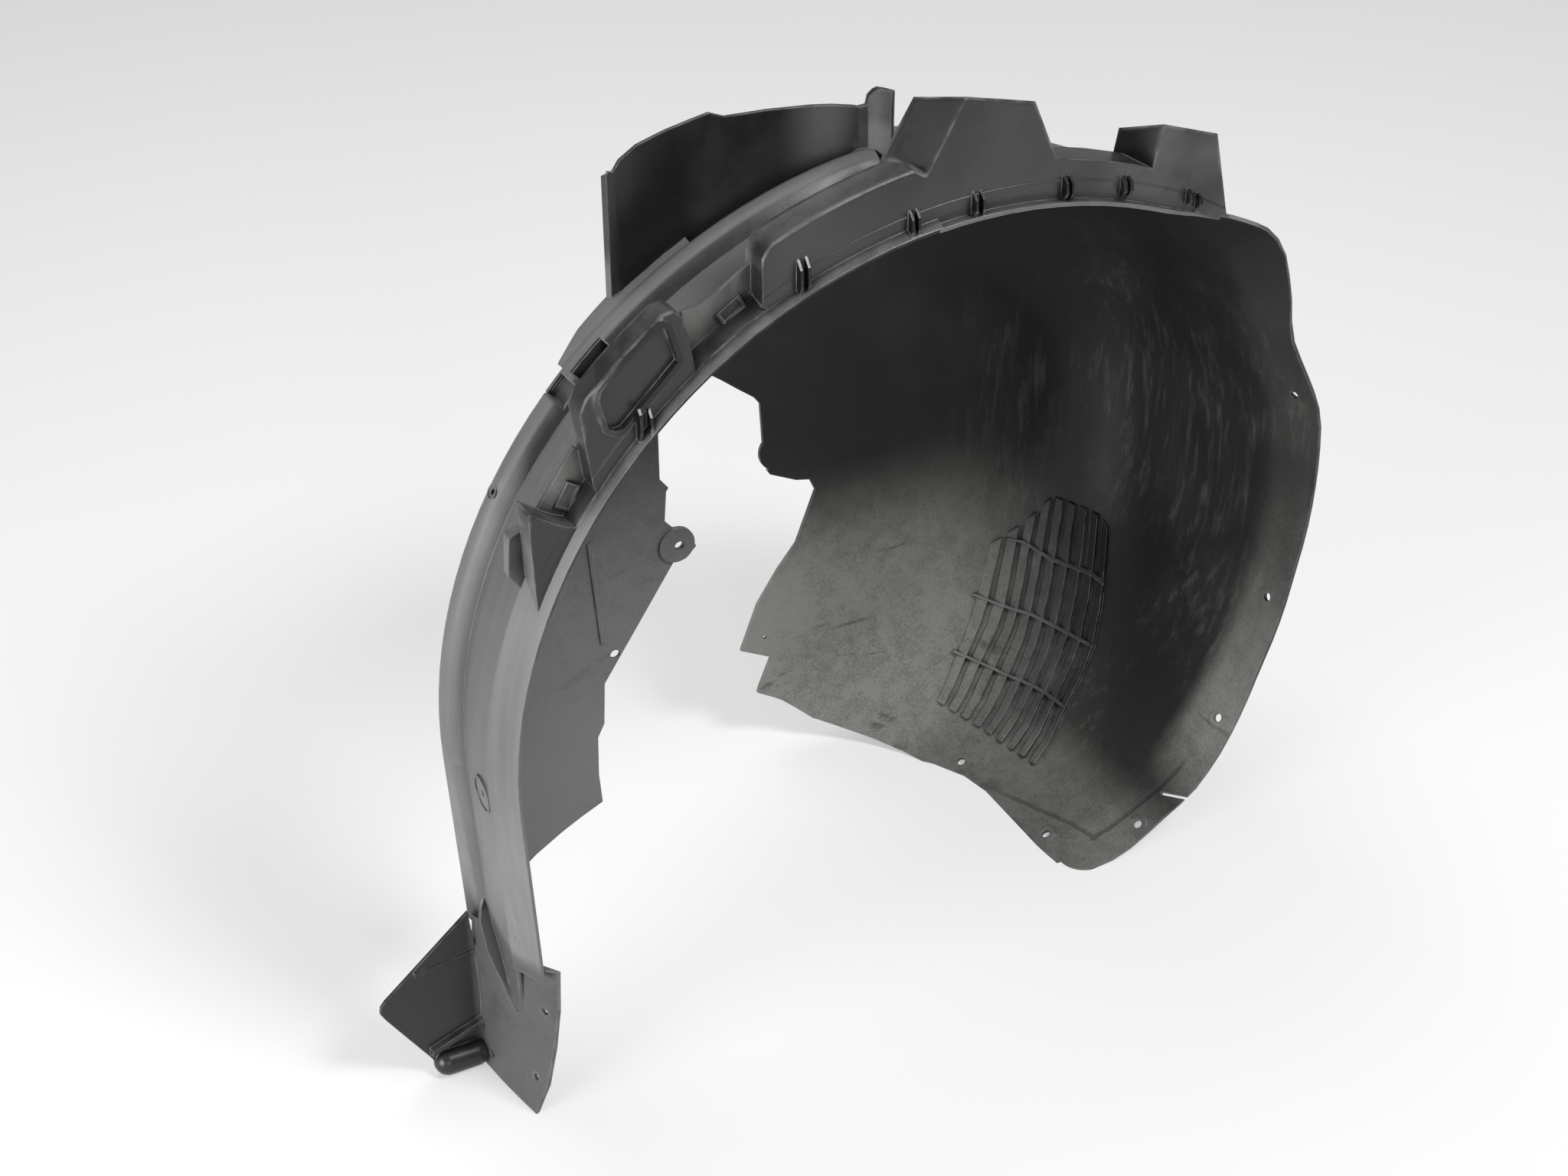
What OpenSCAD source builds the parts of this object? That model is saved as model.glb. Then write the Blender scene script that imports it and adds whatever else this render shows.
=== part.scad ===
// Front wheel arch liner, right-hand side: one moulded shell round the top of the tyre.
// Millimetres, +Z up. The origin is the wheel axis where it meets the outboard lip plane;
// +X is towards the front of the car, +Y is inboard. Angles run from +X towards +Z.

/* [Arch] */
// radius of the outboard lip about the wheel axis
arch_r = 390; // [380:1:400]
// thickness of the moulded wall
wall_t = 3; // [2.6:0.1:3.4]
// distance from the lip plane to the ridge behind the arch channel
strip_w = 117; // [116:1:120]
// height of the channel floor above the lip radius
channel_h = 12; // [10:1:13]

/* [Bowl] */
// distance from the lip plane to the inboard wall
bowl_depth = 370; // [365:1:375]
// distance from the lip plane to the free edge of the front flange
edge_set = 60; // [56:1:64]
// level of the lowest points under the wheel axis
foot_drop = 322; // [320:1:324]

/* [Rim band] */
// distance from the lip plane to the outboard face of the rim blocks
face_y = 8; // [7:1:9]
// distance from the lip plane to the plates at the back of the pockets
pocket_y = 26; // [24:1:28]
// depth of the hollow blocks behind their face
block_d = 21; // [19:1:23]
// height of the two blocks above the lip radius
block_h = 57; // [54:1:60]
// height of the ledge above the lip radius
ledge_h = 46; // [43:1:49]
// height of the larger tower above the lip radius
tower_h = 87; // [84:1:90]

/* [Fixings] */
// radius of the fixing holes
hole_r = 4; // [3.5:0.1:4.5]
// radius of the thickened pad round a fixing hole in the front flange
pad_r = 9; // [8:0.5:10]

/* [Louvre] */
// number of slats in the louvre field
slat_n = 9; // [8:1:10]
// height of a slat above the wall
slat_h = 5; // [4:0.5:6]

/* [Hidden] */
$fn = 96;
// the outlines below are drawn for a lip radius of 390 and a drop of 322
grow = arch_r / 390;
reach = arch_r - 390;
sink = foot_drop / 322;
block_r = arch_r + block_h;
ledge_r = arch_r + ledge_h;
tower_z = arch_r + tower_h;
// distance from the lip plane to the inboard plate and to the flap
web_y = strip_w - 5;
flap_y = strip_w - 31;

function polar(r, a) = [r * cos(a), r * sin(a)];
function arc(r, a0, a1, n) = [for (i = [0 : n]) polar(r, a0 + (a1 - a0) * i / n)];
// an outline [x, z] that keeps its height above the lip
function follow(p) = [for (q = p) q * (1 + reach / norm(q))];
// an outline [x, z] that grows with the arch, and below the axis with the drop of the foot
function level(z) = z < 0 ? z * sink : z * grow;
function with_arch(p) = [for (q = p) [q[0] * grow, level(q[1])]];
function unit(v) = v / norm(v);
function perp(v) = [v[1], -v[0]];
function miter(p, i) =
  let(
    n = len(p),
    a = unit(i > 0 ? p[i] - p[i - 1] : p[1] - p[0]),
    b = unit(i < n - 1 ? p[i + 1] - p[i] : p[n - 1] - p[n - 2]),
    m = unit(perp(a) + perp(b))
  ) m / max(0.5, m * perp(a));
// an open line with a thickness on its right-hand side
function wall(p, t) = concat(p, [for (i = [len(p) - 1 : -1 : 0]) p[i] - t * miter(p, i)]);
function soft(a, t) = (lookup(a - 8, t) + 2 * lookup(a, t) + lookup(a + 8, t)) / 4;
function crisp(a, t) = (lookup(a - 2, t) + 2 * lookup(a, t) + lookup(a + 2, t)) / 4;

// a section [radius, y] carried round the wheel axis
module swept(a0, a1, pts) {
  rotate([90, 0, 0])
    rotate([0, 0, a0])
      rotate_extrude(angle = a1 - a0)
        polygon([for (p = pts) [p[0], -p[1]]]);
}

// a flat shape [x, z] between two distances from the lip plane
module plate(y0, y1) {
  translate([0, y1, 0])
    rotate([90, 0, 0])
      linear_extrude(y1 - y0)
        children();
}

// a box with six free faces, corners front then back, anticlockwise from bottom left
module hexa(p) {
  polyhedron(
    points = p,
    faces = [
      [0, 2, 1], [0, 3, 2], [4, 5, 6], [4, 6, 7], [0, 5, 4], [0, 1, 5],
      [1, 6, 5], [1, 2, 6], [2, 7, 6], [2, 3, 7], [3, 4, 7], [3, 0, 4]
    ]
  );
}

// a sheet through rows of points, thickened by one offset
module sheet(rows, off) {
  m = len(rows[0]);
  k = len(rows);
  n = m * k;
  polyhedron(
    points = concat([for (r = rows) each r], [for (r = rows) each [for (p = r) p + off]]),
    faces = concat(
      [for (i = [0 : k - 2]) for (j = [0 : m - 2]) let(q = i * m + j) [q, q + m + 1, q + 1]],
      [for (i = [0 : k - 2]) for (j = [0 : m - 2]) let(q = i * m + j) [q, q + m, q + m + 1]],
      [for (i = [0 : k - 2]) for (j = [0 : m - 2]) let(q = n + i * m + j) [q, q + 1, q + m + 1]],
      [for (i = [0 : k - 2]) for (j = [0 : m - 2]) let(q = n + i * m + j) [q, q + m + 1, q + m]],
      [for (j = [0 : m - 2]) each [[j, n + j + 1, n + j], [j, j + 1, n + j + 1]]],
      [for (j = [0 : m - 2]) let(q = (k - 1) * m + j) each [[q, n + q + 1, q + 1], [q, n + q, n + q + 1]]],
      [for (i = [0 : k - 2]) let(q = i * m, s = q + m) each [[q, n + s, s], [q, n + q, n + s]]],
      [for (i = [0 : k - 2]) let(q = i * m + m - 1, s = q + m) each [[q, n + s, n + q], [q, s, n + s]]]
    )
  );
}

// Arch strip and leg

channel_r = arch_r + channel_h;
ridge_r = channel_r + 10;
arch_line = [
  [arch_r, 0], [arch_r + 6, face_y + 4], [channel_r + 2, face_y + 19], [channel_r, 34],
  [channel_r - 1, strip_w - 33], [ridge_r - 2, strip_w - 27], [ridge_r + 1, strip_w - 22],
  [ridge_r + 2, strip_w - 17], [ridge_r + 1, strip_w - 12], [ridge_r - 3, strip_w - 7],
  [channel_r + 2, strip_w]
];
leg_a = 182.5;
leg_len = 162 * sink;
arch_start = 97;

module leg_run(h, pts) {
  rotate([90, 0, 0])
    rotate([0, 0, leg_a])
      translate([0, h, 0])
        rotate([90, 0, 0])
          linear_extrude(h)
            polygon([for (p = pts) [p[0], -p[1]]]);
}

// the strip widens inboard under the collar's rear end
wide_line = [
  [ridge_r - 3, strip_w - 7], [ridge_r - 1, strip_w - 1], [ridge_r - 3, strip_w + 11],
  [channel_r, strip_w + 23]
];
// angles between which the two pockets lower the strip
pocket_spans = [[117.6, 126.5], [138.5, 147.2]];

// angles of the notch in the ridge, of its low end and of the end of the widening
notch_a0 = 131;
low_a0 = 136.2;
notch_a1 = 139;
run_out_end = 136;

function box_line(r0, r1, y0, y1) = [[r0, y0], [r0, y1], [r1, y1], [r1, y0]];
// the ridge's section filled down to its floor, from the channel to one distance from the lip
function notch_end(y) =
  let(
    y0 = strip_w - 30,
    top = [for (p = arch_line) [p[1], p[0] - 0.4]]
  ) concat(
    [[channel_r - 4, y0], [lookup(y0, top), y0]],
    [for (p = arch_line) if (p[1] > y0 && p[1] < y) p - [0.4, 0]],
    [[lookup(y, top), y], [channel_r - 4, y]]
  );

module arch_strip() {
  difference() {
    union() {
      difference() {
        swept(arch_start, leg_a, wall(arch_line, wall_t));
        for (p = pocket_spans) {
          swept(p[0], p[1], [
            [arch_r, face_y + 2], [arch_r, pocket_y], [ridge_r, pocket_y], [ridge_r, face_y + 2]
          ]);
        }
      }
      for (p = pocket_spans) {
        swept(p[0], p[1], wall([[arch_r + 5, face_y], [arch_r + 7.5, pocket_y + 2]], wall_t));
      }
      // the widening runs out towards the rear
      difference() {
        swept(118, run_out_end, wall(wide_line, wall_t));
        rotate([0, -128, 0])
          translate([arch_r - 10, strip_w + 23, 0])
            rotate([22, 0, 0])
              translate([0, 0, -60])
                cube([70, 60, 160]);
      }
      leg_run(leg_len, wall(arch_line, wall_t));
      // dished seats of the two clips
      clip_seat(-177.4, 47, 15, channel_r + 1.6);
      clip_seat(150.2, strip_w - 18, 6, ridge_r + 1.5);
    }
    // the ridge is notched behind the pockets, and cut down at the end of the notch
    swept(notch_a0, notch_a1, box_line(channel_r + 2, ridge_r + 8, strip_w - 40, strip_w - 22));
    swept(low_a0, notch_a1, box_line(channel_r + 2, ridge_r + 8, strip_w - 22.6, strip_w - 3));
    rotate([0, 177.4, 0]) translate([arch_r, 47, 0]) rotate([0, 90, 0]) cylinder(r = 2.5, h = 40);
    rotate([0, -150.2, 0]) translate([arch_r, strip_w - 18, 0]) rotate([0, 90, 0]) {
      cylinder(r = 2.5, h = 40);
      translate([0, 0, ridge_r + 0.5 - arch_r]) cylinder(r = 5, h = 9);
    }
  }
  // floor and back wall of the notch
  swept(notch_a0, low_a0, wall([
    [channel_r - 0.7, strip_w - 31], [channel_r - 0.7, strip_w - 23], [ridge_r - 0.7, strip_w - 23]
  ], wall_t));
  swept(low_a0 - 0.3, notch_a1, wall([
    [channel_r - 0.7, strip_w - 31], [channel_r - 0.7, strip_w - 4], [ridge_r - 6, strip_w - 4]
  ], wall_t));
  // its two ends, and the step down from the ridge
  swept(notch_a0 - 0.6, notch_a0 + 0.1, notch_end(strip_w - 21));
  swept(notch_a1 - 0.1, notch_a1 + 0.6, notch_end(strip_w - 3.5));
  swept(low_a0 - 0.6, low_a0 + 0.1, notch_end(strip_w - 3.5));
  // end wall where the strip meets the deeper front half
  swept(arch_start, arch_start + 0.5, concat(arch_line, [[arch_r - 4, strip_w], [arch_r - 2, face_y + 2]]));
}

// a thick disc through the wall with a shallow dish in its top
module clip_seat(a, y, r, top) {
  rotate([0, -a, 0])
    translate([top - wall_t * 2, y, 0])
      rotate([0, 90, 0])
        difference() {
          cylinder(r = r, h = wall_t * 2);
          translate([0, 0, wall_t * 2 - 1]) cylinder(r = r - 1.5, h = 2);
        }
}

// Foot and flap

foot_edge = strip_w - 25;
foot_rows = [for (r = [
  [[-383, -1, -150], [-387, 30, -150], [-390, 60, -150], [-398, foot_edge, -150]],
  [[-379, -1, -168], [-393, 30, -168], [-400, 60, -168], [-406, foot_edge, -170]],
  [[-370, 0, -174], [-390, 30, -176], [-401, 60, -182], [-408, foot_edge, -194]],
  [[-372, 0, -214], [-388, 30, -214], [-400, 60, -214], [-410, foot_edge, -214]],
  [[-377, 0, -251], [-389, 30, -251], [-400, 60, -251], [-409, foot_edge, -251]],
  [[-385, 0, -289], [-394, 30, -289], [-402, 60, -289], [-409, 88, -290]],
  [[-394, 7, -322], [-400, 32, -322], [-405, 56, -322], [-410, 84, -322]]
]) [for (q = r) [q[0], q[1], level(q[2])]]];

// the channel ends in a pointed pocket let into the foot
pocket_yz = [for (q = [
  [86, -146], [84, -161], [69, -190], [46, -233], [41, -240], [38, -236], [34.5, -217], [26, -160],
  [24, -146]
]) [q[0], level(q[1])]];
// y and z of the fixing holes in the foot
foot_holes = [[12.5, -221], [14.7, -289], [72, -306]];
foot_hole_r = 3.2;

module pocket_prism(grow, x0, x1) {
  translate([x0, 0, 0])
    rotate([90, 0, 90])
      linear_extrude(x1 - x0)
        offset(delta = grow) polygon(pocket_yz);
}

module foot() {
  difference() {
    union() {
      difference() {
        sheet([for (i = [1 : 6]) foot_rows[i]], [wall_t, 1, 0]);
        pocket_prism(0, -430, -370);
      }
      // sides of the pocket
      intersection() {
        difference() {
          pocket_prism(wall_t, -420, -388);
          pocket_prism(0, -430, -370);
        }
        sheet([for (i = [0 : 4]) foot_rows[i]], [18, 4, 0]);
      }
      // floor of the pocket, which carries on the channel
      intersection() {
        pocket_prism(wall_t, -420, -370);
        translate([reach, 0, 0])
          leg_run(240 * sink, [
            [channel_r - 1 - wall_t, 18], [channel_r - 1, 18],
            [channel_r - 1, 94], [channel_r - 1 - wall_t, 94]
          ]);
      }
    }
    for (h = foot_holes) {
      translate([-440, h[0], level(h[1])]) rotate([0, 90, 0]) cylinder(r = foot_hole_r, h = 90);
    }
  }
}

flap_pts = [for (q = [
  [-411, -162], [-486, -227], [-490, -232], [-491, -238], [-487, -246], [-453, -303], [-446, -322],
  [-404, -322], [-404, -230], [-408, -195], [-410, -175]
]) [q[0], level(q[1])]];

module flap() {
  plate(flap_y, flap_y + wall_t) polygon(flap_pts);
  // stiffening rib, step and rounded boss
  rib([-460, -210], [-402, -203], 3, 2);
  rib([-453, -297], [-404, -278], 5, 5);
  intersection() {
    translate([-452, flap_y - 1, 12 - foot_drop])
      rotate([0, 90, 0])
        rotate_extrude()
          polygon(concat(
            [[0, 0]],
            [for (i = [1 : 6]) [12 * sin(15 * i), 12 - 12 * cos(15 * i)]],
            [for (i = [0 : 5]) [12 * cos(15 * i), 36 + 12 * sin(15 * i)]],
            [[0, 48]]
          ));
    translate([-470, flap_y - 20, -foot_drop]) cube([64, 22, 60]);
  }
}

// a rib on the flap from a to b, w thick at its top and h high, with drafted sides
module rib(a, b, w, h) {
  y = flap_y - h;
  za = level(a[1]);
  zb = level(b[1]);
  hexa([
    [a[0], y, za], [b[0], y, zb], [b[0], y, zb + w], [a[0], y, za + w],
    [a[0] - 1, flap_y + 1, za - 2], [b[0], flap_y + 1, zb - 2],
    [b[0], flap_y + 1, zb + w + 2], [a[0] - 1, flap_y + 1, za + w + 2]
  ]);
}

// Inboard plate of the rear half

web_pts = concat(
  arc(channel_r, arch_start, 180, 30),
  [[-channel_r, level(-60)], [-arch_r - 10, level(-160)]],
  with_arch([
    [-384, -174], [-353, -158], [-341, -148], [-317, -133], [-300, -124],
    [-281, -115], [-283, -86], [-282, -50], [-276, -38], [-274, 0], [-212, 95], [-208, 96], [-201, 96],
    [-192, 105], [-200, 121], [-211, 126], [-218, 134], [-216, 160], [-214, 163], [-221, 172],
    [-221, 219], [-221, 250]
  ]),
  arc(arch_r - 5, 124, arch_start, 10)
);
web_holes = with_arch([[-207, 110], [-264, 25]]);
lug_at = with_arch([[-209, 111]])[0];

module web() {
  difference() {
    union() {
      plate(web_y, web_y + wall_t) polygon(web_pts);
      plate(web_y - 2, web_y + 2) translate(lug_at) circle(r = 15);
      plate(web_y - 1.4, web_y + 1) polygon(with_arch([[-276, 39], [-283, 132], [-279, 133], [-272, 39]]));
    }
    for (h = web_holes) {
      plate(web_y - 12, web_y + 13) translate(h) circle(r = hole_r);
    }
  }
}

// Collar above the arch

collar_plan = [for (q = [
  [-222, 46], [-236, 32], [-247, 19], [-251, 11], [-250, 4], [-243, 0.5], [-230, -0.5], [-92, -0.5],
  [-76, -2.5], [-62, -8], [-53, -16], [-47, -24], [-43, -32]
]) [q[0] * grow, strip_w + q[1]]];
collar_top = concat(with_arch([
  [-270, 300], [-264, 424], [-254, 424], [-246, 422], [-241, 430], [-228, 439], [-205, 446], [-187, 450],
  [-172, 453], [-160, 448], [-127, 447], [-91, 444], [-58, 441], [-54, 443], [-53, 450], [-50, 455],
  [-48, 457], [-38, 457]
]), arc(channel_r + 1, 96, 132, 14));

module collar() {
  foot_z = level(290);
  intersection() {
    translate([0, 0, foot_z]) linear_extrude(level(190)) polygon(wall(collar_plan, wall_t));
    plate(60, 180) polygon(collar_top);
    // the turned end falls away inboard
    translate([level(300) * -1, 0, 0])
      rotate([90, 0, 90])
        linear_extrude(level(300))
          polygon([
            [60, foot_z], [60, level(480)], [strip_w, level(480)], [strip_w + 4, level(421)],
            [180, level(385)], [180, foot_z]
          ]);
    difference() {
      translate([level(300) * -1, 0, foot_z]) cube([level(300), 180, level(180)]);
      rotate([90, 0, 0]) translate([0, 0, 1 - strip_w]) cylinder(r = channel_r - 1, h = strip_w - 1);
    }
  }
}

// Rim band: blocks, pockets, ledge, towers, fins

// outlines of the blocks; in is how far they reach inside the lip radius
function block_b(in) = follow([
  [-365, 237], [-364, 200], [-363, 169], [-362, 148], [-354 + in, 148], [-330 + in, 200], [-326 + in, 214],
  [-338, 219], [-348, 225]
]);
function block_a(in) = concat(
  follow([[-232, 308 - in], [-237, 318], [-239, 331], [-243, 351], [-246, 360], [-252, 365]]),
  arc(block_r, 125.6, 135.4, 8),
  follow([[-323, 303], [-321, 284], [-316, 246], [-311, 236 - in]]),
  arc(arch_r - in, 142, 128, 8)
);
function ledge(in) = concat(
  arc(arch_r - in, 97, 117.5 - in / 8, 12),
  follow([[-185, 355], [-185, 388], [-182, 394]]),
  arc(ledge_r, 114, 99, 12),
  follow([[-52, 420], [-52, 395]])
);
function band(in) = concat(
  [polar(arch_r + 6 - in, 59.8)],
  arc(arch_r - in, 66, 99, 14),
  [
    for (q = [[33, 98.3], [31, 84], [28, 77.7], [27, 73.8], [25, 70], [18, 66.4], [13, 59.8]])
      polar(arch_r + q[0], q[1])
  ]
);
block_y1 = face_y + block_d;

// outline shrunk by one wall and let down through the arch, so that each block is hollow
module core(pts, y0, y1) {
  plate(y0 + wall_t, y1 - wall_t) offset(delta = -wall_t) polygon(pts);
}

// outlines of the front and rear ends of the towers, anticlockwise from bottom left
tower_1_front = concat(follow([[-74, 396], [58, 396]]), [[27, tower_z - 13], [-29, tower_z]]);
tower_1_rear = concat(follow([[-97, 396], [62, 396]]), [[30, tower_z - 26], [-52, tower_z - 7]]);
tower_2_front = follow([[128, 366], [205, 342], [188, 411], [139, 427]]);
tower_2_rear = follow([[115, 366], [206, 342], [190, 397], [124, 415]]);
tower_1_depth = 32;
tower_2_depth = 34;

function lifted(p, y) = [for (q = p) [q[0], y, q[1]]];
// the hollow of a tower: narrower by one wall and let down through the arch
function hollow(p) =
  let(
    t = wall_t * 1.15,
    rear = (p[3][0] - p[0][0]) / (p[3][1] - p[0][1]),
    front = (p[2][0] - p[1][0]) / (p[2][1] - p[1][1])
  ) [p[0] + [t - 16 * rear, -16], p[1] + [-t - 16 * front, -16], p[2] + [-t, -t], p[3] + [t * 0.8, -t]];

// each pair of fins: x and z of the top of the first, fin height, x step to the second, z step
fins = [
  [-281, 304, 28, 8, -4], [-158, 385, 27, 6, 1], [-71, 403, 22, 5, 1], [-20, 407, 20, 6, 0],
  [55, 405, 17, 5, -1], [106, 395, 14, 5, -1], [166, 373, 10, 9, -5]
];

module fin_pair(f) {
  at = follow([[f[0], f[1]]])[0];
  for (k = [0, 1]) {
    translate([at[0] + k * f[3] - 1, 0, at[1] + k * f[4]])
      rotate([90, 0, 90])
        linear_extrude(2)
          polygon([
            [face_y + 1, 0], [2, -f[2] * 0.3], [0.8, -f[2] * 0.75], [2.6, -f[2]], [5, -f[2] - 2],
            [face_y + 1, -f[2] - 4]
          ]);
  }
}

module clip_frame(x, z, turn) {
  at = follow([[x, z]])[0];
  translate([at[0], pocket_y - 2.5, at[1]])
    rotate([0, turn, 0])
      difference() {
        translate([-10.5, 0, -6]) cube([21, 4, 12]);
        translate([-8.5, -1, -4]) cube([17, 2.6, 8]);
      }
}

module rim_solid() {
  plate(face_y, block_y1) polygon(block_b(2));
  plate(block_y1 - wall_t, block_y1 + 6)
    polygon(follow([[-374, 210], [-376, 179], [-368, 167], [-360, 167], [-360, 215]]));
  plate(face_y, block_y1) polygon(block_a(2));
  // raised rim round the recess of this block
  plate(face_y - 1.6, face_y + 1) offset(r = 4) polygon(recess_pts);
  plate(face_y, block_y1 + 6) polygon(ledge(2));
  plate(face_y, block_y1 + 6) polygon(band(2));
  // back plates of the two pockets
  plate(pocket_y, pocket_y + wall_t)
    polygon(follow([
      [-306, 246], [-320, 268], [-322, 270], [-351, 228], [-354, 222], [-340, 195], [-326, 216]
    ]));
  plate(pocket_y, pocket_y + wall_t)
    polygon(concat(
      follow([[-242, 330], [-238, 353], [-224, 355], [-212, 361], [-197, 372], [-182, 381]]),
      arc(arch_r + 5, 116.5, 127, 6)
    ));
  clip_frame(-329, 233, -60);
  clip_frame(-201, 347.5, -34);
  hexa(concat(lifted(tower_1_front, face_y), lifted(tower_1_rear, face_y + tower_1_depth)));
  hexa(concat(lifted(tower_2_front, face_y), lifted(tower_2_rear, face_y + tower_2_depth)));
  for (f = fins) fin_pair(f);
}

recess_pts = follow([
  [-250, 327], [-257, 353], [-262, 356], [-300, 325], [-307, 318], [-309, 311], [-303, 288], [-298, 285],
  [-292, 286]
]);

module rim_core() {
  core(block_b(12), face_y, block_y1);
  difference() {
    core(block_a(12), face_y, block_y1);
    plate(face_y, face_y + 4 + wall_t) offset(delta = wall_t) polygon(recess_pts);
  }
  core(ledge(12), face_y, block_y1 + 6);
  core(band(12), face_y, block_y1 + 6);
  hexa(concat(
    lifted(hollow(tower_1_front), face_y + wall_t),
    lifted(hollow(tower_1_rear), face_y + tower_1_depth - wall_t)
  ));
  hexa(concat(
    lifted(hollow(tower_2_front), face_y + wall_t),
    lifted(hollow(tower_2_rear), face_y + tower_2_depth - wall_t)
  ));
  plate(face_y - 3, face_y + 4) polygon(recess_pts);
}

// Front half: deep bowl

blend_start = [
  [-110, 250], [-75, 230], [-60, 190], [-50, 170], [-38, 180], [-28, 215], [-19, 255], [-8, 290],
  [2, 305], [15, 290], [40, 200], [60, 120], [110, 90]
];
blend_drop = [
  [-110, 100], [-75, 110], [-60, 130], [-38, 150], [-28, 130], [-19, 110], [-8, 85], [2, 65],
  [15, 80], [40, 140], [60, 180], [110, 185]
];
edge_rise = [
  [-110, 356], [-66, 358], [-63, 361], [-60, 372], [-57, 380], [-53, 383], [-47.5, 386], [-44, 393],
  [-37, 389], [-24, 375], [-8, 372],
  [5, 379], [16, 387], [25, 380], [30, 379], [33, 388], [37, 401], [41, 410], [45, 414], [53, 404],
  [60, 398], [66, 390], [110, 390]
];
edge_in = [[-110, edge_set], [46, edge_set], [62, 0], [110, 0]];
fold_r = [
  [-110, 352], [-66, 354.5], [-60, 362], [-55, 370], [-45, 378], [-30, 374], [0, 368], [30, 372], [46, 384],
  [60, 388], [110, 389]
];

function edge_r(a) = grow * crisp(a, edge_rise);
function fold(a) = grow * soft(a, fold_r);
function drop(a) = grow * soft(a, blend_drop);

function bowl_line(a) =
  let(
    ye = soft(a, edge_in),
    re = edge_r(a),
    rt = fold(a),
    ys = soft(a, blend_start),
    b = drop(a),
    n = 9
  ) concat(
    [[re, ye], [re * 0.65 + rt * 0.35, ye + 18], [re * 0.2 + rt * 0.8, ye + 38], [rt, ye + 52]],
    [[rt, (ye + 52) * 0.5 + ys * 0.5]],
    [for (i = [0 : n]) let(q = 90 * i / n) [rt - b * (1 - cos(q)), ys + (bowl_depth - ys) * sin(q)]],
    [[(rt - b) * 0.6, bowl_depth], [8, bowl_depth]]
  );
// point on the tyre side of the bowl for an angle and a distance from the lip plane
function bowl_at(a, y) =
  let(
    s = bowl_line(a),
    r = lookup(y, [for (i = [0 : 13]) [s[i][1], s[i][0]]]) - wall_t
  ) [r * cos(a), y, r * sin(a)];

// where the bottom flange meets the level the part stands on
corner_x = 157 * grow;
stations = [for (a = [-106 : 3 : 131]) a];

module bowl_solid() {
  rings = [for (a = stations) [for (p = wall(bowl_line(a), wall_t)) [p[0] * cos(a), p[1], p[0] * sin(a)]]];
  m = len(rings[0]);
  k = len(rings);
  polyhedron(
    points = [for (r = rings) each r],
    faces = concat(
      [for (i = [0 : k - 2], j = [0 : m - 1]) let(q = i * m, n = (j + 1) % m) [q + j, q + m + j, q + m + n]],
      [for (i = [0 : k - 2], j = [0 : m - 1]) let(q = i * m, n = (j + 1) % m) [q + j, q + m + n, q + n]],
      [for (j = [0 : m / 2 - 2]) each [[j, j + 1, m - 2 - j], [j, m - 2 - j, m - 1 - j]]],
      [
        for (j = [0 : m / 2 - 2]) let(q = (k - 1) * m)
          each [[q + j, q + m - 2 - j, q + j + 1], [q + j, q + m - 1 - j, q + m - 2 - j]]
      ]
    ),
    convexity = 10
  );
}

bowl_outline = with_arch([
  [500, -322], [119, -322], [105, -318], [89, -313], [66, -305], [38, -293], [10, -270],
  [-15, -255], [0, -218], [-32, -201], [-14, -153], [7, -121], [27, -96], [47, -43], [41, -30],
  [27, -27], [0, -14], [-4, -8], [-6, 0], [-10, 62], [-16, 70], [-33, 83], [-48, 95], [-110, 140],
  [-110, 500], [500, 500]
]);

// louvre field: four rows across the slats, each as wheel angle and as turn round the bowl blend
row_a = [
  [[0, -61.6], [4, -58.7], [9, -56.5]], [[0, -53.2], [2, -51.2], [6, -47.8], [9, -47]],
  [[0, -42.5], [4, -39.2], [9, -37.2]], [[0, -33.2], [4, -19.6], [8, -19.5], [9, -20.7]]
];
row_q = [
  [[0, 44], [4, 25.5], [9, 3]], [[0, 55.5], [4, 35.7], [9, 14.3]],
  [[0, 65], [2, 52], [4, 43], [9, 17.7]], [[0, 72], [4, 57], [9, 24]]
];
row_t = [0, 0.29, 0.63, 1];
function slat_a(g, t) = lookup(t, [for (i = [0 : 3]) [row_t[i], lookup(g, row_a[i])]]);
function slat_q(g, t) = lookup(t, [for (i = [0 : 3]) [row_t[i], lookup(g, row_q[i])]]);
// point of the louvre field raised above the wall towards the tyre
function field(g, t, h) =
  let(
    a = slat_a(g, t),
    q = slat_q(g, t),
    ys = soft(a, blend_start),
    r = fold(a) - drop(a) * (1 - cos(q)) - (wall_t + h) * cos(q),
    y = ys + (bowl_depth - ys) * sin(q) - (wall_t + h) * sin(q)
  ) [r * cos(a), y, r * sin(a)];

module tube(rings) {
  m = len(rings[0]);
  k = len(rings);
  polyhedron(
    points = [for (r = rings) each r],
    faces = concat(
      [for (i = [0 : k - 2], j = [0 : m - 1]) let(q = i * m, n = (j + 1) % m) [q + j, q + n, q + m + n]],
      [for (i = [0 : k - 2], j = [0 : m - 1]) let(q = i * m, n = (j + 1) % m) [q + j, q + m + n, q + m + j]],
      [[for (j = [m - 1 : -1 : 0]) j]],
      [[for (j = [0 : m - 1]) (k - 1) * m + j]]
    ),
    convexity = 6
  );
}

cross_rows = [[[0, 0.29], [9, 0.29]], [[0, 0.63], [9, 0.63]], [[1.3, 0.97], [4, 0.81], [9, 0.83]]];

// section of a slat from wheel-angle step g, at t along the field
function slat(g, t) = let(s = 9 / slat_n) [
  field((g + 0.22) * s, t, -1.5), field((g + 0.9) * s, t, -1.5),
  field((g + 0.9) * s, t, slat_h), field((g + 0.3) * s, t, 2)
];
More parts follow.
